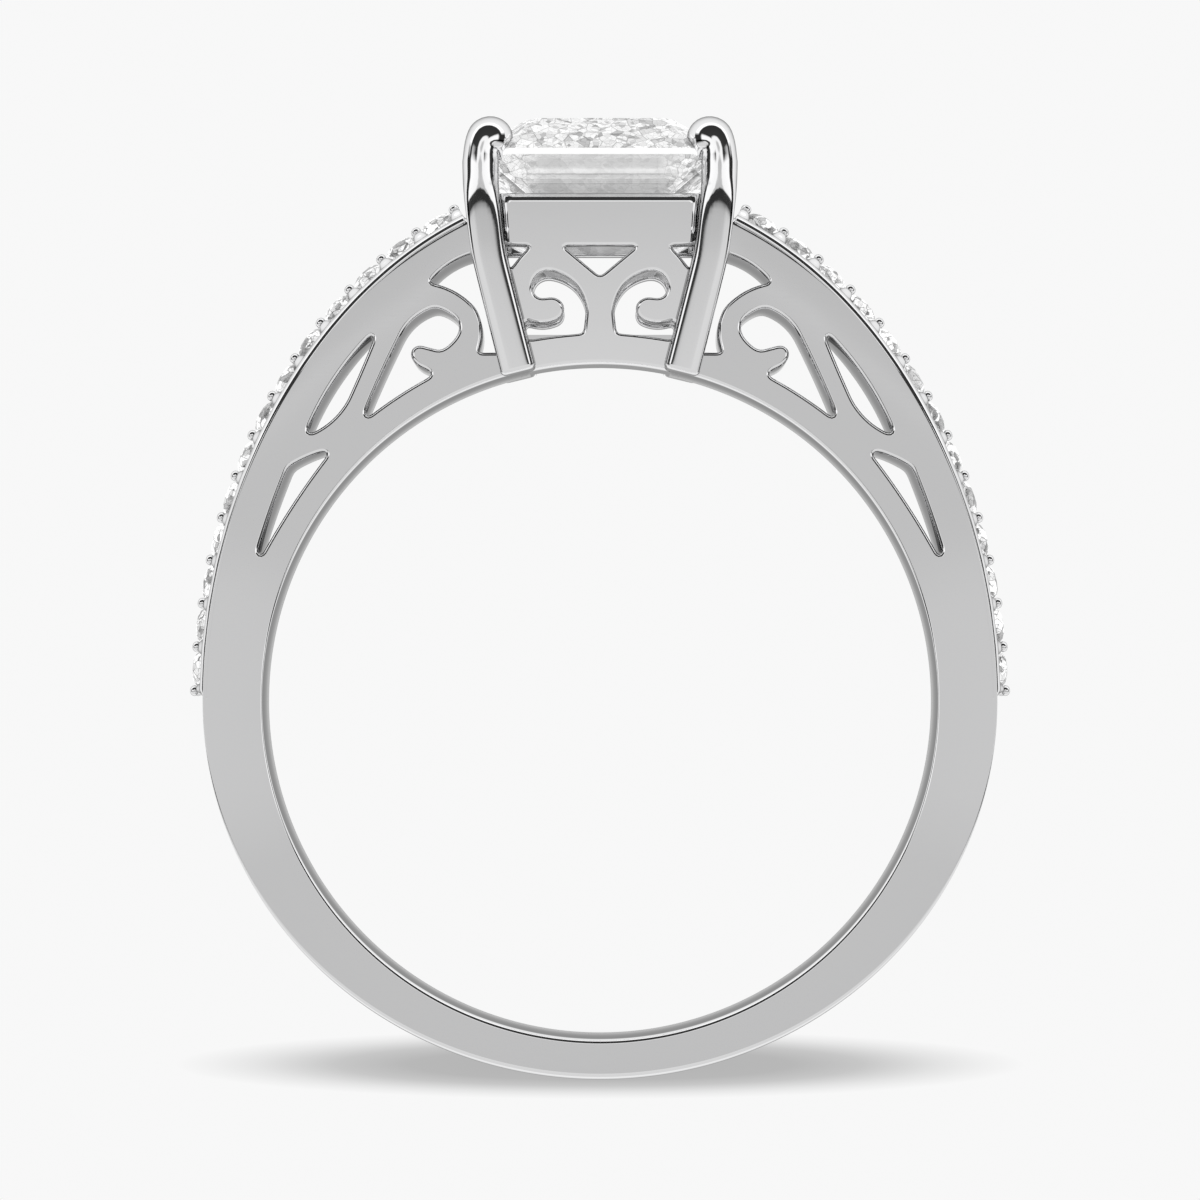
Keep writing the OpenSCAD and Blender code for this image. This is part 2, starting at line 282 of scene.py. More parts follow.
def rolled_plate(bm, rims, half, crease):
    """A plate with rounded rims: each rim is a ring of 2D points and the radius at each point.

    The rounding stops a few degrees short of the flat face, as on metal that was filed flat after
    it was rounded. Half of the plate is made, from the middle to the front face, and then mirrored.
    """
    flat_sides = []
    reach = math.radians(90 - crease)
    for points, radii in rims:
        ways = inward(points)
        starts = [math.asin(max(0, math.sin(reach) - (half - MIDDLE_STRIP) / r)) for r in radii]
        ring = wire(bm, [(*p, 0) for p in points])
        for step in range(EDGE_STEPS + 1):
            places = []
            for point, way, radius, start in zip(points, ways, radii, starts):
                angle = start + (reach - start) * step / EDGE_STEPS
                inset = radius * (math.cos(start) - math.cos(angle))
                drop = radius * (math.sin(reach) - math.sin(angle))
                places.append((*(point + way * inset), half - drop))
            ring = pull(bm, ring, places)
        flat_sides += sides_of(bm, ring)
    shade_smooth(bm)
    bmesh.ops.triangle_fill(bm, edges=flat_sides, use_beauty=True, use_dissolve=False)
    mirror(bm, "Z", MERGE)


print("a rim is rounded in", EDGE_STEPS, "steps")

# %% [markdown]
# ## From a form to a piece
#
# A finished form is laid down by the matrix, so its place is in its mesh and its object stays at
# the origin. The pieces of metal all stand for the one cast and soldered body of the frame.

# %% Make pieces of the ring
def show(bm, name):
    """Lays a finished standing form down and makes it a piece of the ring."""
    bmesh.ops.transform(bm, matrix=laid_down, verts=bm.verts)
    bmesh.ops.recalc_face_normals(bm, faces=bm.faces)
    mesh = bpy.data.meshes.new(name)
    bm.to_mesh(mesh)
    bm.free()
    mesh.materials.append(white_gold)
    piece = bpy.data.objects.new(name, mesh)
    bpy.context.scene.collection.objects.link(piece)
    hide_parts("ring_body")
    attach(piece, "root")
    print(name, len(mesh.polygons), "faces")


print("pieces stand for", [name for name in frame["nodes"] if "stone" not in name])


# %% [markdown]
# ## The outline of the shoulders
#
# A cathedral shoulder leaves the band at the finger's middle and sweeps up to the head. Its
# outer line is close to an ellipse, and a rim for the stones rises over it, highest at the head.
# The stones stand at equal steps along the rim, so a table of lengths turns a way along the rim
# into a place on it.

# %% Draw the shoulder curve
SIDE_T, SHANK_T = 1.52, 1.05
SHOULDER_X, SHOULDER_Y, SHOULDER_FULL = FINGER_R + SIDE_T, 13.28, 1.96
RIM_RISE, RIM_RISE_HEAD = 0.1, 0.24
CURVE_END, CURVE_PLACES, LOOK_AHEAD = 80.0, 640, 0.1


def shoulder_at(turn, rise_x=0.0, rise_y=0.0):
    c, s = max(0.0, math.cos(math.radians(turn))), math.sin(math.radians(turn))
    return Vector((-(SHOULDER_X + rise_x) * c ** (2 / SHOULDER_FULL),
                   (SHOULDER_Y + rise_y) * s ** (2 / SHOULDER_FULL)))


def rim_at(turn):
    return shoulder_at(turn, RIM_RISE, RIM_RISE_HEAD)


turns = np.linspace(0, CURVE_END, CURVE_PLACES)
places = [rim_at(t) for t in turns]
lengths = np.concatenate([[0], np.cumsum([(b - a).length for a, b in zip(places, places[1:])])])


def along(way):
    """Place on the left rim, the way outwards, and the rim's height over the shoulder there."""
    turn = float(np.interp(way, lengths, turns))
    ahead = rim_at(min(turn + LOOK_AHEAD, CURVE_END)) - rim_at(max(turn - LOOK_AHEAD, 0))
    place, out = rim_at(turn), Vector((-ahead.y, ahead.x)).normalized()
    return place, out, (place - shoulder_at(turn)).dot(out)


print("the rim is", round(float(lengths[-1]), 2), "mm long")

# %% [markdown]
# ## The claws' lines
#
# Each claw is a bent bar. It starts at the finger hole, leans outwards to a bend level with the
# top of the piercing, stands up beside the stone and rounds over its corner. The shoulders and the
# head's walls end inside these bars, so their lines are needed first.

# %% Place the claws' joints
LEG_FOOT = Vector((-2.04, 8.25, 0.76))
LEG_BEND = Vector((-2.86, 11.5, 1.51))
LEG_NECK = Vector((-3.05, 13.15, 1.86))
LEG_TOP = Vector((-3.05, 14.17, 1.87))
CLAW_TIP = Vector((-2.79, 14.37, 1.62))


def leg_x(y):
    a, b = (LEG_FOOT, LEG_BEND) if y < LEG_BEND.y else (LEG_BEND, LEG_TOP)
    return a.x + (b.x - a.x) * (y - a.y) / (b.y - a.y)


print("the legs stand", round(-2 * leg_x(13), 2), "mm apart at the rail")

# %% [markdown]
# ## The piercings
#
# The scrolls are drawn as a jeweller would saw them: a few corners, joined by straight or bowed
# cuts. Each row is a corner and the bow of the cut that follows it. Only the left half is drawn.

# %% Draw the pierced outlines
KITE = [(-8.80, 3.77, 0.03), (-8.02, 5.98, 0.04), (-7.08, 6.40, 0), (-7.00, 6.32, -0.065),
        (-8.70, 3.71, 0)]
LEAF = [(-7.54, 6.88, 0.145), (-5.88, 9.40, 0), (-5.82, 9.32, 0.01), (-6.50, 7.72, 0.11),
        (-7.46, 6.85, 0)]
COMMA = [(-6.05, 7.34, 0.02), (-5.18, 9.27, 0.15), (-4.22, 10.12, 0.53), (-4.08, 8.99, 0),
         (-4.68, 9.15, -0.10), (-4.86, 8.78, -0.055), (-4.40, 8.48, 0.03), (-4.33, 8.35, -0.045),
         (-5.97, 7.28, 0)]
HORN = [(-4.39, 10.75, 0.10), (-3.33, 11.47, 0), (-2.70, 11.60, 0), (-2.10, 8.95, 0),
        (-3.14, 8.94, -0.14), (-3.20, 10.10, -0.12)]
SCROLL = [(-1.75, 10.63, 0.11), (-1.37, 11.05, 0.25), (-0.36, 10.08, 0), (-0.43, 9.46, -0.02),
          (-1.84, 9.29, 0), (-1.91, 9.36, 0), (-1.93, 9.79, -0.12),
          (-0.98, 9.86, -0.17), (-1.19, 10.385, 0), (-1.55, 10.335, 0.05)]
CORNER_WINDOW = [(-2.56, 11.655, 0), (-1.80, 11.655, -0.02), (-2.32, 11.07, 0)]
CENTRE_WINDOW = [(-0.94, 11.655, 0), (0.94, 11.655, 0), (0, 10.89, 0)]
print("four openings in a shoulder, three in half of a wall")

# %% [markdown]
# A saw and a file leave no dead sharp corners, so each outline is cut into short steps and smoothed
# a little. The right half is the same outline, mirrored and run backwards, so that its metal stays
# on the same side of the way.

# %% Saw along the outlines
SAW_STEP, SAW_ROUNDS = 0.06, 4


def stroke(a, b, bow=0.0, step=SAW_STEP):
    """Points from a towards b, bowed to the left of the way by a height."""
    chord = (b - a).length
    count = max(1, round(chord / step))
    left = Vector((a.y - b.y, b.x - a.x)) / chord
    return [a.lerp(b, k / count) + left * bow * (1 - (2 * k / count - 1) ** 2)
            for k in range(count)]


def eased(points, rounds):
    for _ in range(rounds):
        points = [(a + 2 * b + c) / 4
                  for a, b, c in zip(points[-1:] + points[:-1], points, points[1:] + points[:1])]
    return points


def pierced(rows, mirrored=False):
    corners = [Vector(row[:2]) for row in rows]
    points = []
    for here, there, row in zip(corners, corners[1:] + corners[:1], rows):
        points += stroke(here, there, row[2])
    points = eased(points, SAW_ROUNDS)
    return [Vector((-p.x, p.y)) for p in reversed(points)] if mirrored else points


print("the comma is drawn with", len(pierced(COMMA)), "points")

# %% [markdown]
# ## The band and its shoulders
#
# Seen from the front, the band is one long C: down the outside, round under the finger and back
# along the finger hole. It is drawn as one ring of points with the piercings inside it. The edges
# are not equally soft. The outside of the shank is well rounded, the inside is rounded most at the
# bottom for comfort, and the shoulders keep a crisp line under the stones.

# %% Give each edge its softness
LEG_LAP, LEG_FROM_Y = 0.34, 8.4
SHANK_EDGE, SIDE_EDGE, SHOULDER_EDGE, HEAD_EDGE = 0.20, 0.02, 0.12, 0.26
HOLE_SIDE_EDGE, HOLE_FOOT_GROWS, HOLE_HEAD_GROWS = 0.04, 0.12, 0.10
LEG_EDGE, PIERCED_EDGE = 0.01, 0.12
HEAD_NEARS, HEAD_REACHED = 1.1, 1.45
CREASE = 15
NEAR = 0.01


def on_hole(point):
    return point.length < FINGER_R + NEAR


def softness(point):
    """Radius of the band's edge at a point of its outline."""
    up = point.y / FINGER_R
    if on_hole(point):
        return HOLE_SIDE_EDGE + (-HOLE_FOOT_GROWS if up < 0 else HOLE_HEAD_GROWS) * up
    if abs(point.x) < -leg_x(point.y) + LEG_LAP and point.y > LEG_FROM_Y:
        return LEG_EDGE
    if up < 0:
        return SIDE_EDGE + (SHANK_EDGE - SIDE_EDGE) * (-up) ** 1.5
    return SIDE_EDGE + (SHOULDER_EDGE - SIDE_EDGE) * min(1, up) ** 1.5 + (
        HEAD_EDGE - SHOULDER_EDGE) * smooth_step(HEAD_NEARS, HEAD_REACHED, up)


print("edge of the band's bottom", round(softness(Vector((0, -FINGER_R - SHANK_T))), 2), "mm")

# %% [markdown]
# With the softness known at each point, the outline and its piercings go into one rounded plate
# that is as thick as the band is wide.

# %% Make the band
CURVE_FROM, CURVE_TURN = 0.4, 0.5
SHANK_PLACES, HOLE_PLACES = 240, 420


def band_outline():
    left = [p for p in (shoulder_at(t) for t in np.arange(CURVE_FROM, CURVE_END, CURVE_TURN))
            if p.x < leg_x(p.y) + LEG_LAP]
    shank = [Vector(((FINGER_R + SIDE_T) * math.cos(a), (FINGER_R + SHANK_T) * math.sin(a)))
             for a in np.radians(np.linspace(180, 360, SHANK_PLACES))]
    right = [Vector((-p.x, p.y)) for p in left]
    inner_x = leg_x(FINGER_R) + LEG_LAP
    stop = math.degrees(math.asin(-inner_x / FINGER_R))
    hole = [Vector((FINGER_R * math.sin(a), FINGER_R * math.cos(a)))
            for a in np.radians(np.linspace(stop, 360 - stop, HOLE_PLACES))]
    curve = left[::-1] + shank + right
    return curve + stroke(curve[-1], hole[0])[1:] + hole + stroke(hole[-1], curve[0])[1:]


def with_radii(outlines):
    return [(points, [PIERCED_EDGE] * len(points)) for points in outlines]


bm = bmesh.new()
outline = band_outline()
rims = [(outline, [softness(p) for p in outline])] + with_radii(
    pierced(rows, mirrored) for rows in (KITE, LEAF, COMMA, HORN) for mirrored in (False, True))
rolled_plate(bm, rims, HALF_W, CREASE)
show(bm, "band_and_shoulders")

# %% [markdown]
# ## The head
#
# The head is a small box with an open top. Its front and rear walls lean outwards and are pierced
# with two scrolls and three windows. Each is a plate like the band, drawn flat and then sheared
# to its lean. A soft rail rounds the top edge, and the bottom follows the finger hole. Beside the
# stone the plate ends short of the claws. Lower down, under a notch, it runs in behind them.

# %% Draw the outline of the head's walls
RAIL_Y, WALL_T, WALL_Z, WALL_MID_Y = 12.99, 0.45, 1.17, 11.0
FLOOR_Y = 9.45
WALL_LEAN = math.tan(math.radians(13))
RAIL_EDGE, BORE_EDGE, PANEL_EDGE = 0.40, 0.16, 0.18
PANEL_IN, HIDDEN_IN, HIDDEN_EDGE = 0.43, 0.12, 0.02
NOTCH_Y, LONG_STEP = 11.84, 0.3
ARC_PLACES = 60


def wall_front(y):
    return WALL_Z + (y - WALL_MID_Y) * WALL_LEAN


def arc_under(x_from, x_to):
    return [Vector((x, math.sqrt(FINGER_R ** 2 - x * x)))
            for x in np.linspace(x_from, x_to, ARC_PLACES)]


def head_outline():
    low = leg_x(FINGER_R) + HIDDEN_IN
    corner = Vector((leg_x(RAIL_Y) + PANEL_IN, RAIL_Y))
    rail = stroke(Vector((-corner.x, RAIL_Y)), corner, step=LONG_STEP)
    notch = Vector((leg_x(NOTCH_Y) + PANEL_IN, NOTCH_Y))
    shelf = Vector((leg_x(NOTCH_Y) + HIDDEN_IN, NOTCH_Y))
    bend = Vector((LEG_BEND.x + HIDDEN_IN, LEG_BEND.y))
    foot = arc_under(low, -low)
    left = stroke(corner, notch, step=LONG_STEP) + stroke(notch, shelf) + stroke(
        shelf, bend) + stroke(bend, foot[0])
    right = [Vector((-p.x, p.y)) for p in reversed(left)]
    return rail + left + foot + right[:-1]


def head_softness(point):
    if point.y > RAIL_Y - NEAR:
        return RAIL_EDGE
    if on_hole(point):
        return BORE_EDGE
    return PANEL_EDGE if abs(point.x) < -leg_x(point.y) - PANEL_IN + NEAR else HIDDEN_EDGE


outline = head_outline()
print("the head's walls are drawn with", len(outline), "points")

# %% [markdown]
# One wall is made flat and leaned by moving each of its points forwards by its height. The other
# wall is its mirror image.

# %% Make the front and rear walls
bm = bmesh.new()
rims = [(outline, [head_softness(p) for p in outline])] + with_radii((
    pierced(SCROLL), pierced(SCROLL, True), pierced(CORNER_WINDOW), pierced(CORNER_WINDOW, True),
    pierced(CENTRE_WINDOW)))
rolled_plate(bm, rims, WALL_T / 2, CREASE)
for vert in bm.verts:
    vert.co.z += wall_front(vert.co.y) - WALL_T / 2
mirror(bm, "Z")
print("two pierced walls with", len(bm.faces), "faces")

# %% [markdown]
# Two plain walls behind the claws and a floor over the finger hole close the box. Each wall is a
# ring of four corners that is pulled down along the claws' line, and the floor is a slab whose
# underside follows the hole.

# %% Close the head
SIDE_REACH = ((RAIL_Y, 1.3), (LEG_BEND.y, 1.0), (FLOOR_Y, 0.6))
FLOOR_REACH = 0.45


def side_corners(side, y, reach):
    return [(side * leg_x(y), y, z) for z in (-reach, reach)] + [
        (side * (leg_x(y) + WALL_T), y, z) for z in (reach, -reach)]


for side in (-1, 1):
    ring = wire(bm, side_corners(side, *SIDE_REACH[0]))
    bmesh.ops.contextual_create(bm, geom=ring)
    for y, reach in SIDE_REACH[1:]:
        ring = pull(bm, ring, side_corners(side, y, reach))
    bmesh.ops.contextual_create(bm, geom=ring)
slab = arc_under(leg_x(FINGER_R), -leg_x(FINGER_R)) + [
    Vector((-leg_x(FLOOR_Y), FLOOR_Y)), Vector((leg_x(FLOOR_Y), FLOOR_Y))]
ring = wire(bm, [(*p, FLOOR_REACH) for p in slab])
bmesh.ops.triangle_fill(bm, edges=sides_of(bm, ring), use_beauty=True)
ring = pull(bm, ring, [(*p, -FLOOR_REACH) for p in slab])
bmesh.ops.triangle_fill(bm, edges=sides_of(bm, ring), use_beauty=True)
show(bm, "head")

# %% [markdown]
# ## The claws
#
# A claw starts as a flat-fronted bar at its foot and turns into a round one at the stone. Its bent
# line is followed in short steps, with a radius at each of them. The joints are eased, and the last
# stretch turns inwards over the stone's corner on a quarter of an arc.

# %% Follow a claw's line
LEG_FOOT_R, LEG_BEND_R, LEG_NECK_R, LEG_TOP_R, TIP_R = 0.45, 0.44, 0.455, 0.47, 0.61
PATH_STEP, PATH_ROUNDS, TURN_STEPS = 0.15, 6, 8
FOOT_SINKS = 0.5


def claw_stations():
    """Centres and radii along one claw, from its foot to its tip."""
    sunk_foot = LEG_FOOT - (LEG_BEND - LEG_FOOT).normalized() * FOOT_SINKS
    joints = [sunk_foot, LEG_BEND, LEG_NECK, LEG_TOP]
    radii = [LEG_FOOT_R, LEG_BEND_R, LEG_NECK_R, LEG_TOP_R]
    line = []
    for (a, b), (r, q) in zip(zip(joints, joints[1:]), zip(radii, radii[1:])):
        count = max(2, round((b - a).length / PATH_STEP))
        line += [(a.lerp(b, k / count), r + (q - r) * k / count) for k in range(count)]
    for _ in range(PATH_ROUNDS):
        line = line[:1] + [((a[0] + 2 * b[0] + c[0]) / 4, (a[1] + 2 * b[1] + c[1]) / 4)
                           for a, b, c in zip(line, line[1:], line[2:])] + line[-1:]
    for k in range(TURN_STEPS + 1):
        angle = math.radians(90) * k / TURN_STEPS
        rise, back = math.sin(angle), 1 - math.cos(angle)
        line.append((Vector((LEG_TOP.x + (CLAW_TIP.x - LEG_TOP.x) * (rise + back) / 2,
                             LEG_TOP.y + (CLAW_TIP.y - LEG_TOP.y) * rise,
                             LEG_TOP.z + (CLAW_TIP.z - LEG_TOP.z) * back)),
                     LEG_TOP_R + (TIP_R - LEG_TOP_R) * rise))
    return line


line = claw_stations()
print("a claw has", len(line), "stations")

# %% [markdown]
# A section stands at each station: a circle at the stone, and further down nearly a square. The
# sections are joined from foot to tip. Each one keeps the turn of the one before it, as far as the
# new direction lets it, so the claw doesn't twist in its bends.

# %% Loft one claw
SECTION_SIDES = 32
FLAT_FRONT, ROUND_FRONT = 7.0, 2.0
FLAT_UP_TO, ROUND_FROM = 12.2, 13.4


def section(centre, ahead, across, radius, fullness):
    out = ahead.cross(across)
    points = []
    for angle in np.arange(SECTION_SIDES) * (2 * math.pi / SECTION_SIDES):
        c, s = math.cos(angle), math.sin(angle)
        bulge = (abs(c) ** fullness + abs(s) ** fullness) ** (-1 / fullness)
        points.append(centre + (across * c + out * s) * radius * bulge)
    return points


bm = bmesh.new()
ring, across = None, Vector((1, 0, 0))
for k, (centre, radius) in enumerate(line):
    ahead = (line[min(k + 1, len(line) - 1)][0] - line[max(k - 1, 0)][0]).normalized()
    across = (across - ahead * across.dot(ahead)).normalized()
    flat = 1 - smooth_step(FLAT_UP_TO, ROUND_FROM, centre.y)
    fullness = ROUND_FRONT + (FLAT_FRONT - ROUND_FRONT) * flat
    points = section(centre, ahead, across, radius, fullness)
    ring = pull(bm, ring, points) if ring else wire(bm, points)
    if k == 0:
        bmesh.ops.contextual_create(bm, geom=ring)
print("the claw's last section is", round(radius, 2), "mm in radius")

# %% [markdown]
# The tip is closed like a ball, and the bend over the stone is smoothed. The foot is cut off flush
# with the finger hole, and its edge is bevelled.

# %% Close the claw's tip and cut its foot
TIP_RINGS, TIP_TURN = 8, 10
SMOOTH_FROM, SMOOTH_TURNS = LEG_TOP.y - 0.3, 10
FOOT_EDGE, FOOT_EDGE_STEPS = 0.12, 4

for k in range(1, TIP_RINGS + 1):
    angle = math.radians(TIP_TURN * k)
    ring = pull(bm, ring, section(CLAW_TIP + ahead * TIP_R * math.sin(angle), ahead, across,
                                  TIP_R * math.cos(angle), ROUND_FRONT))
bmesh.ops.contextual_create(bm, geom=ring)
for _ in range(SMOOTH_TURNS):
    bmesh.ops.smooth_vert(bm, verts=[v for v in bm.verts if v.co.y > SMOOTH_FROM], factor=0.5,
                          use_axis_x=True, use_axis_y=True, use_axis_z=True)
radial = Vector((LEG_FOOT.x, LEG_FOOT.y, 0)).normalized()
cut = bmesh.ops.bisect_plane(bm, geom=bm.verts[:] + bm.edges[:] + bm.faces[:], dist=1e-5,
                             plane_co=radial * FINGER_R, plane_no=radial, clear_inner=True)
sole = [g for g in cut["geom_cut"] if isinstance(g, bmesh.types.BMEdge)]
bmesh.ops.edgeloop_fill(bm, edges=sole)
bmesh.ops.recalc_face_normals(bm, faces=bm.faces)
bmesh.ops.bevel(bm, geom=sole, offset=FOOT_EDGE, segments=FOOT_EDGE_STEPS, profile=0.5,
                material=-1, affect="EDGES")
shade_smooth(bm)
print("one claw has", len(bm.faces), "faces")

# %% [markdown]
# A setter cuts a notch in the claw, so that it grips the stone's corner. Here the points that lie
# inside the stone are pushed out through the nearest facet, with a hair's breadth between the two.
# The claw is then mirrored to make the other three.

# %% Notch the claws for the stone
HAIR = 0.03
stone_form = bmesh.new()
stone_form.from_mesh(frame["nodes"]["centre_stone"].data)
bmesh.ops.remove_doubles(stone_form, verts=stone_form.verts, dist=1e-7)
bmesh.ops.transform(stone_form, matrix=laid_down.inverted(), verts=stone_form.verts)
bmesh.ops.recalc_face_normals(stone_form, faces=stone_form.faces)
facets = [(face.normal.copy(), face.normal.dot(face.verts[0].co) + HAIR)
          for face in stone_form.faces]
stone_form.free()
pushed = 0
for vert in bm.verts:
    normal, depth = max(((n, n.dot(vert.co) - reach) for n, reach in facets), key=lambda f: f[1])
    if depth < 0:
        vert.co -= normal * depth
        pushed += 1
print(pushed, "points of the claw were pushed back to the stone's facets")
for axis in ("X", "Z"):
    mirror(bm, axis)
show(bm, "claws")

# %% [markdown]
# ## The setting of the row
#
# The small stones lie in a bright-cut row. The engraver bevels the shoulder's edge, scoops the
# metal away beside each stone and leaves a tongue between two stones, which carries the beads. That
# relief is written as a height for each place along the row and across it.

# %% Give the bright-cut row its relief
ROW_COUNT, ROW_PITCH, ROW_START = 13, 1.124, 0.24
ROW_FROM, ROW_TO = 0.02, ROW_START + ROW_COUNT * ROW_PITCH + 0.12
SEAT_R, SEAT_DEEP, SEAT_LIP = 0.53, 0.36, 0.06
TONGUE, SADDLE, SADDLE_ENDS, TONGUE_BEGINS = 0.12, 0.02, 0.15, 0.40
SEAT_SIDE, TONGUE_SIDE = 0.26, 0.50
BEVEL_RISE, BEVEL_IN, BEVEL_OUT = 0.09, 0.88, 0.970
GROOVE, GROOVE_W = 0.03, 0.26
BURIED = 0.10


def relief(way, across):
    """Height over the rim at a way along it and a distance from the row's middle."""
    across = abs(across)
    low = -along(way)[2]
    if across > 1:
        return low - BURIED
    if across > BEVEL_IN:
        return low + BEVEL_RISE * (BEVEL_OUT - across) / (BEVEL_OUT - BEVEL_IN)
    edge = low + BEVEL_RISE
    from_stone = abs(((way - ROW_START) / ROW_PITCH) % 1 - 0.5) * ROW_PITCH
    tongue_top = SADDLE + (TONGUE - SADDLE) * smooth_step(SADDLE_ENDS, TONGUE_BEGINS, across)
    lift = smooth_step(SEAT_SIDE, TONGUE_SIDE, from_stone)
    inner = (edge - GROOVE) + (tongue_top - edge + GROOVE) * lift
    height = edge + (inner - edge) * smooth_step(0.0, GROOVE_W, BEVEL_IN - across)
    reach = math.hypot(from_stone, across)
    if reach < SEAT_R:
        height = min(height, -SEAT_DEEP + (SEAT_DEEP + SEAT_LIP) * reach / SEAT_R)
    end = min(1.0, max(0.0, (way - ROW_FROM) / (ROW_START - ROW_FROM)))
    return low + (height - low) * end * end


print("the first seat is", round(-relief(ROW_START + ROW_PITCH / 2, 0), 2), "mm deep")

# %% [markdown]
# A grid is laid along the shoulder, with its lines closest where the relief is steepest, and each
# of its points is lifted or sunk. A skirt under its rim closes it inside the metal.

# %% Lay the bright-cut row
ACROSS = [1.003, 0.970, 0.88, 0.85, 0.82, 0.76, 0.70, 0.64, 0.58, 0.53, 0.48, 0.42, 0.34, 0.24,
          0.12]
STEPS_A_STONE = 20
SKIRT_IN, SKIRT_NARROWS, SKIRT_DEEP = 0.02, 0.96, 0.2


def on_rim(way, height, across):
    place, out, _ = along(way)
    place = place + out * height
    return Vector((place.x, place.y, across))


bm = bmesh.new()
columns = ROW_COUNT * STEPS_A_STONE
levels = ACROSS + [0.0] + [-a for a in reversed(ACROSS)]
bmesh.ops.create_grid(bm, x_segments=columns, y_segments=len(levels) - 1, size=1)
for vert in bm.verts:
    way = ROW_FROM + (ROW_TO - ROW_FROM) * (vert.co.x + 1) / 2
    level = levels[round((vert.co.y + 1) / 2 * (len(levels) - 1))]
    vert.co = (way, level, relief(way, level))
rim_edges = [e for e in bm.edges if e.is_boundary]
skirt = bmesh.ops.extrude_edge_only(bm, edges=rim_edges)["geom"]
for vert in (g for g in skirt if isinstance(g, bmesh.types.BMVert)):
    vert.co = (min(ROW_TO - SKIRT_IN, max(ROW_FROM + SKIRT_IN, vert.co.x)),
               vert.co.y * SKIRT_NARROWS, -SKIRT_DEEP - along(vert.co.x)[2])
bmesh.ops.edgeloop_fill(bm, edges=[e for e in bm.edges if e.is_boundary])
for vert in bm.verts:
    vert.co = on_rim(vert.co.x, vert.co.z, vert.co.y)
shade_smooth(bm)
mirror(bm, "X")
show(bm, "row_setting")

# %% [markdown]
# ## The beads
#
# Each small stone is held by four beads, raised from the metal with a graver and rounded with a
# cup tool. A bead is turned here from its outline by spinning it once round. It leans a little
# over the stones, and a pair stands between every two of them.

# %% Turn one bead
BEAD_SIDES = 20
BEAD_OUTLINE = [(0.17, -0.20), (0.135, -0.06), (0.105, 0.03), (0.10, 0.07), (0.125, 0.12),
                (0.138, 0.17), (0.125, 0.23), (0.092, 0.268), (0.045, 0.288), (0.0, 0.293)]
bead = bmesh.new()
profile = [bead.verts.new((r, 0, h)) for r, h in BEAD_OUTLINE]
for a, b in zip(profile, profile[1:]):
    bead.edges.new((a, b))
bmesh.ops.spin(bead, geom=bead.verts[:] + bead.edges[:], cent=(0, 0, 0), axis=(0, 0, 1),
               angle=2 * math.pi, steps=BEAD_SIDES, use_merge=True)
bmesh.ops.remove_doubles(bead, verts=bead.verts, dist=1e-5)
bmesh.ops.edgeloop_fill(bead, edges=[e for e in bead.edges if e.is_boundary])
shade_smooth(bead)
bead_mesh = bpy.data.meshes.new("bead")
bead.to_mesh(bead_mesh)
bead.free()
print("one bead has", len(bead_mesh.polygons), "faces")

# %% [markdown]
# The bead is copied to the ends of every tongue. Its own axis is turned to point outwards from the
# rim, which changes from place to place.

# %% Raise the beads in pairs
BEAD_Z = 0.4
bm = bmesh.new()
for k in range(ROW_COUNT + 1):
    place, out, _ = along(ROW_START + k * ROW_PITCH)
    forward = Vector((out.y, -out.x, 0))
    for side in (-1, 1):
        stand = Matrix((forward, Vector((0, 0, 1)), (*out, 0))).transposed().to_4x4()
        stand.translation = (place.x, place.y, side * BEAD_Z)
        before = len(bm.verts)
        bm.from_mesh(bead_mesh)
        bm.verts.ensure_lookup_table()
        bmesh.ops.transform(bm, matrix=stand, verts=bm.verts[before:])
bpy.data.meshes.remove(bead_mesh)
mirror(bm, "X")
show(bm, "beads")

# %% [markdown]
# ## The diamonds
#
# The stones' shapes are right as they come: a step cut with its table, steps and cut corners, and
# round brilliants. They only need the right matter. Diamond bends light more than any other clear
# stone, and its facets send most of it back out of the top as a crisp mosaic of whites and greys.
# So the matter is a mix: a clear body, and over it that mosaic, painted on as glowing whites and
# greys that stand in for the facets' reflections. It is strongest on the crown and on the small
# stones. One material serves all the stones, so it first measures where a point lies: how high it is
# on the large stone, and how far to the side, where the small stones begin.

# %% Measure places on the stones
GIRDLE_Y, GIRDLE_T, ROW_BEGINS, SPAN_Y = 13.985, 0.15, 3.3, 4.0
ASIDE_RAMP = 0.2

diamond, tree = fresh_material("diamond")
place = node(tree, "ShaderNodeTexCoord")[3]
up = (laid_down.to_3x3() @ Vector((0, 1, 0))).normalized()
height = (node(tree, "ShaderNodeVectorMath", {"operation": "DOT_PRODUCT"}, place, tuple(up))[1]
          - laid_down.translation.dot(up)) * (1 / MM)
share = (height - (GIRDLE_Y - SPAN_Y / 2)) * (1 / SPAN_Y)
x = node(tree, "ShaderNodeSeparateXYZ", None, place)[0]
aside = (x * (1 / MM)).maths("ABSOLUTE")
small = aside.maths("GREATER_THAN", ROW_BEGINS)
print("the mosaic starts at the girdle,", GIRDLE_Y, "mm over the finger's middle")

# %% [markdown]
# The painted mosaic is made of cells of one grey each, with thin lines between them: painted
# reflections of the facets. A layer of large cells gives the facets, and a layer of fine ones gives
# their reflections in each other.

# %% Cut the painted mosaic
BRIGHTEST = 1.2


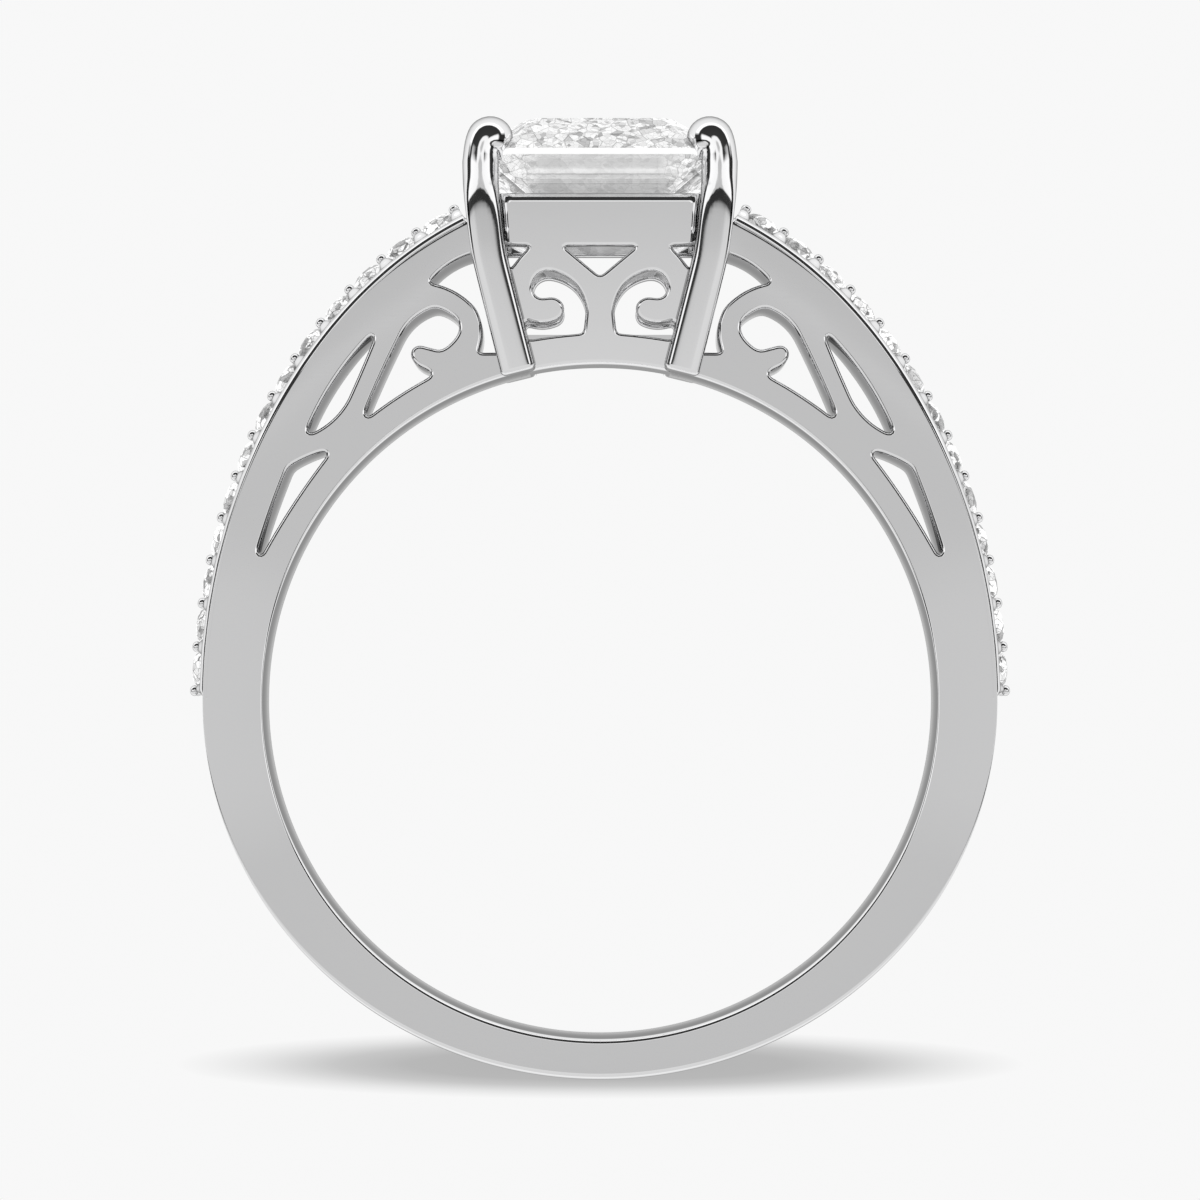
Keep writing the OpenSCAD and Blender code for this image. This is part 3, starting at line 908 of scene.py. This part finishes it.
def painted_mosaic(scale, stretch, bright, line):
    """Painted reflections: cells that are each one grey, most of them white, with thin lines between
    them.
    """
    bent = node(tree, "ShaderNodeMapping", None, Vector=place, Scale=stretch)[0]
    colour = node(tree, "ShaderNodeTexVoronoi", {"feature": "F1"}, Vector=bent, Scale=scale)[1]
    red = node(tree, "ShaderNodeSeparateColor", None, colour)[0]
    edge = node(tree, "ShaderNodeTexVoronoi", {"feature": "DISTANCE_TO_EDGE"}, Vector=bent,
                Scale=scale)[0]
    return ramp(red, *bright) * ramp(edge, (0.0, line), (0.04, 1.0))


# Painted light: these greys are emitted further down as the facets' glints and reflections.
large = painted_mosaic(2600.0, (1.0, 1.6, 1.0), [(0.0, 0.42), (0.12, 0.68), (0.28, 0.92), (1.0, 1.1)], 0.30)
fine = painted_mosaic(7500.0, (1.0, 0.7, 1.3), [(0.0, 0.26), (0.14, 0.60), (0.30, 0.92), (1.0, 1.05)], 0.40)
painted_glint_mix = (large * fine).maths("MINIMUM", BRIGHTEST)
print("the mosaic has two layers")

# %% [markdown]
# Under the girdle a step cut is calm: its long facets are painted as bands of one grey with crisp
# lines, streaked with fine noise. Only its cut corners glitter with the painted mosaic, and there a
# painted dark facet runs down on a slant with a painted white edge beside it.

# %% Paint the steps under the girdle
CORNER_SLOPE, CORNER_AT, HALF_WAY = 0.79, 11.53, 0.5
STREAK_FROM, STREAK_SPAN = 0.84, 0.32

# Painted reflections: each step facet gets a band of one grey, streaked by fine noise.
steps = ramp(share, (0.0, 0.34), (0.255, 0.40), (0.305, 0.40), (0.318, 0.50), (0.345, 0.50),
             (0.3585, 0.46), (0.3605, 0.22), (0.364, 0.22), (0.370, 0.78), (0.385, 0.80),
             (0.400, 0.64), (0.412, 0.52), (0.478, 0.52), (0.484, 0.88))
combed = node(tree, "ShaderNodeMapping", None, Vector=place, Scale=(0.06, 5.0, 5.0))[0]
painted_streaks = node(tree, "ShaderNodeTexNoise", None, Vector=combed, Scale=3000.0, Detail=2.0)[0]
calm = steps * (STREAK_FROM + STREAK_SPAN * painted_streaks)
corner = ramp(aside * ASIDE_RAMP, (0.30, 0.0), (0.42, 1.0))
below = calm + corner * (painted_glint_mix - calm)
# Painted shade and highlight: a dark slanting band with a white edge beside it on the cut corners.
slant = ramp(HALF_WAY + aside * CORNER_SLOPE - height + CORNER_AT, (0.485, 1.0), (0.49, 1.7),
             (0.497, 1.7), (0.502, 0.10), (0.55, 0.25), (0.60, 0.6), (0.66, 1.0))
ends = ramp(aside * ASIDE_RAMP, (0.50, 1.0), (0.53, 0.0))
below = below + ends * (slant - 1) * below
print("steps drawn up to", GIRDLE_Y - GIRDLE_T / 2, "mm")

# %% [markdown]
# The crown shows the painted mosaic, and so do the small stones, which are darker between their
# whites. The polished girdle is painted plain white, a painted highlight. All this is painted light:
# it glows through the clear body in place of the light that a real stone sends back, and a little
# of it is laid into the base colour as well. The clear body itself glows faintly white.

# %% Mix the diamond
DIAMOND_IOR = 2.418
BELOW_SHOWS, GIRDLE_SHOWS, CROWN_SHOWS, SMALL_SHOWS = 0.78, 0.92, 0.90, 0.80
LARGE_GLINT_SCALE, SMALL_LIGHTER, SMALL_DEEPER = 0.92, 0.15, 1.6
GIRDLE_HIGHLIGHT, SHARE_LIT = 1.1, 0.2
SOFT = 0.004

thick = GIRDLE_T / SPAN_Y / 2
girdle = ramp(share, (0.0, 0.0), (0.5 - thick - SOFT, 0.0), (0.5 - thick, 1.0),
              (0.5 + thick, 1.0), (0.5 + thick + SOFT, 0.0))
crown = ramp(share, (0.0, BELOW_SHOWS), (0.5 - thick - SOFT, BELOW_SHOWS),
             (0.5 - thick, GIRDLE_SHOWS), (1.0, CROWN_SHOWS))
over = ramp(share, (0.5, 0.0), (0.5 + SOFT, 1.0)).maths("MAXIMUM", small)
painted_glint_mix = painted_glint_mix * (LARGE_GLINT_SCALE + small * SMALL_LIGHTER)
painted_glint_mix = painted_glint_mix.maths("POWER", 1 + small * SMALL_DEEPER)
# Painted light: the mosaic, the step bands and a white girdle line, all emitted below.
light = (below + over * (painted_glint_mix - below)).maths("MAXIMUM", girdle * (1 - small) * GIRDLE_HIGHLIGHT)
haze = node(tree, "ShaderNodeTexNoise", None, Vector=place, Scale=900.0)[0]
# The clear body also glows faintly white: painted light.
body = node(tree, "ShaderNodeBsdfPrincipled", None, Base_Color=(1, 1, 1, 1),
            Roughness=0.004 * haze, IOR=DIAMOND_IOR, Transmission_Weight=1.0,
            Emission_Color=(1, 1, 1, 1), Emission_Strength=0.05)[0]
# Painted light, laid both into the base colour and into the emission.
painted_sparkle = node(tree, "ShaderNodeBsdfPrincipled", None, Base_Color=light * SHARE_LIT,
               Emission_Color=light, Emission_Strength=0.80, Roughness=0.05 + 0.05 * haze,
               IOR=DIAMOND_IOR)[0]
amount = crown + small * (SMALL_SHOWS - crown)
both = node(tree, "ShaderNodeMixShader", None, amount, body, painted_sparkle)[0]
node(tree, "ShaderNodeOutputMaterial", None, both)
for name, stone in frame["nodes"].items():
    if "stone" in name:
        for slot in stone.material_slots:
            slot.material = diamond
print("diamonds:", sum("stone" in name for name in frame["nodes"]))

# %% [markdown]
# ## The table
#
# The ring lies on a plain pale table that is lit through from below, as a jeweller's light table is,
# so the ring throws no shadow. One soft shadow is painted into the table's glow where the band's
# bottom rests: a ramp over the distance from that place, drawn out into a long ellipse.

# %% Lay the table
TABLE_HALF, TABLE_DROP = 1.5, 0.02 * MM
GLOW = 0.937
SHADE_X, SHADE_Y, SHADE_BACK = 11.1, 0.9, 0.2

bm = bmesh.new()
bmesh.ops.create_grid(bm, x_segments=1, y_segments=1, size=TABLE_HALF)
bmesh.ops.translate(bm, vec=(0, 0, -TABLE_DROP), verts=bm.verts)
mesh = bpy.data.meshes.new("table")
bm.to_mesh(mesh)
bm.free()
table = bpy.data.objects.new("table", mesh)
bpy.context.scene.collection.objects.link(table)
pale, tree = fresh_material("pale table")
x, y = node(tree, "ShaderNodeSeparateXYZ", None, node(tree, "ShaderNodeTexCoord")[3])[:2]
rest_y = (laid_down @ Vector((0, -FINGER_R - SHANK_T, -HALF_W))).y
wide, deep = x * (1 / (SHADE_X * MM)), (y - rest_y - SHADE_BACK * MM) * (1 / (SHADE_Y * MM))
away = (wide * wide + deep * deep).maths("SQRT")
# Painted shadow: the table's glow is darkened in a soft ellipse below the band's bottom.
shade = ramp(away, (0.0, 0.52), (0.45, 0.49), (0.62, 0.39), (0.72, 0.27), (0.81, 0.16),
             (0.905, 0.07), (1.0, 0.0))
lit = node(tree, "ShaderNodeEmission", None, 1 - shade, GLOW)[0]
node(tree, "ShaderNodeOutputMaterial", None, lit)
mesh.materials.append(pale)
table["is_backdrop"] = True
print("table laid")

# %% [markdown]
# ## The room
#
# A polished ring shows the room that it is in. Here it is a round room of soft light, measured
# from the finger's axis: grey right above, where the camera is, and banded further down. Each
# ramp gives the light by its angle from that axis. Behind the head a bright ring and a wide dark
# band draw the lines along the edges, before it all is soft, and to both sides a low dark band
# draws the streaks on the claws.

# %% Light the room
world = bpy.data.worlds.new("room")
world.use_nodes = True
bpy.context.scene.world = world
tree = world.node_tree
tree.nodes.clear()
lean = math.asin(-finger_axis.normalized().y)
look = node(tree, "ShaderNodeMapping", None, Vector=node(tree, "ShaderNodeTexCoord")[0],
            Rotation=(-lean, 0.0, 0.0))[0]
x, y, z = node(tree, "ShaderNodeSeparateXYZ", None, look)
angle = z.maths("ARCCOSINE") * (2 / math.pi)


def ramp_by_angle(*stops):
    """Light by the angle from the finger's axis, in degrees."""
    return ramp(angle, *((degrees / 90, light) for degrees, light in stops))


behind = ramp_by_angle((0, 0.56), (6, 0.555), (8.5, 0.53), (11.5, 0.57), (15, 1.0), (23, 1.0),
                       (28, 0.04), (73, 0.03), (77, 1.3), (88, 1.3), (90, 1.0))
before = ramp_by_angle((0, 0.56), (8, 0.56), (16, 0.60), (20, 0.68), (24, 0.74), (55, 0.72),
                       (90, 0.72))
beside = ramp_by_angle((0, 0.56), (6, 0.60), (9, 0.62), (13, 1.0), (60, 1.1), (66, 0.03),
                       (90, 0.03))
print("light in three directions")

# %% [markdown]
# The three ramps are blended by direction: `before` towards the band's bottom, `beside` to both
# sides and `behind` everywhere else. A dark beam runs across the room, a little towards the band's
# bottom, and takes light away. A faint pale stripe near the axis adds a soft sheen.

# %% Blend the room
STRIPE_SLOPE, STRIPE_AT, STRIPE_NARROWS = 0.807, 0.14, 20

width = x.maths("ABSOLUTE")
level = (x * x + y * y).maths("SQRT").maths("MAXIMUM", 0.001)
to_front = ramp(0.5 + 0.5 * y, (0.38, 1.0), (0.47, 0.0))
to_side = ramp(width.maths("DIVIDE", level), (0.90, 0.0), (0.97, 1.0))
beam = ramp(y + 0.5, (0.14, 1.0), (0.19, 0.93), (0.215, 0.80), (0.25, 0.05), (0.36, 0.05),
            (0.385, 1.0))
stripe = ramp((y + STRIPE_SLOPE * width - STRIPE_AT) * STRIPE_NARROWS, (0.0, 0.01),
              (0.25, 0.02), (0.34, 0.06), (0.38, 0.14), (0.42, 0.0))
near_axis = ramp(angle, (0.10, 1.0), (0.12, 0.0))
sky = behind + to_front * (before - behind)
sky = (sky + to_side * (beside - sky)) * beam + stripe * near_axis
air = node(tree, "ShaderNodeBackground", None, sky, 1.0)[0]
node(tree, "ShaderNodeOutputWorld", None, air)
bpy.context.scene.view_settings.view_transform = "Standard"
print("room lit")

# %% [markdown]
# ## Compare the sizes and finish
#
# The dressed ring has to keep the size of the imported one. Both boxes are measured, and the shift
# of each corner is printed.

# %% Measure and finish
seen_box = [list(corner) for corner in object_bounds()]
for low_or_high, a, b in zip(("lowest", "highest"), cad_box, seen_box):
    print(low_or_high, "corner moved by", [round((q - p) / MM, 3) for p, q in zip(a, b)], "mm")
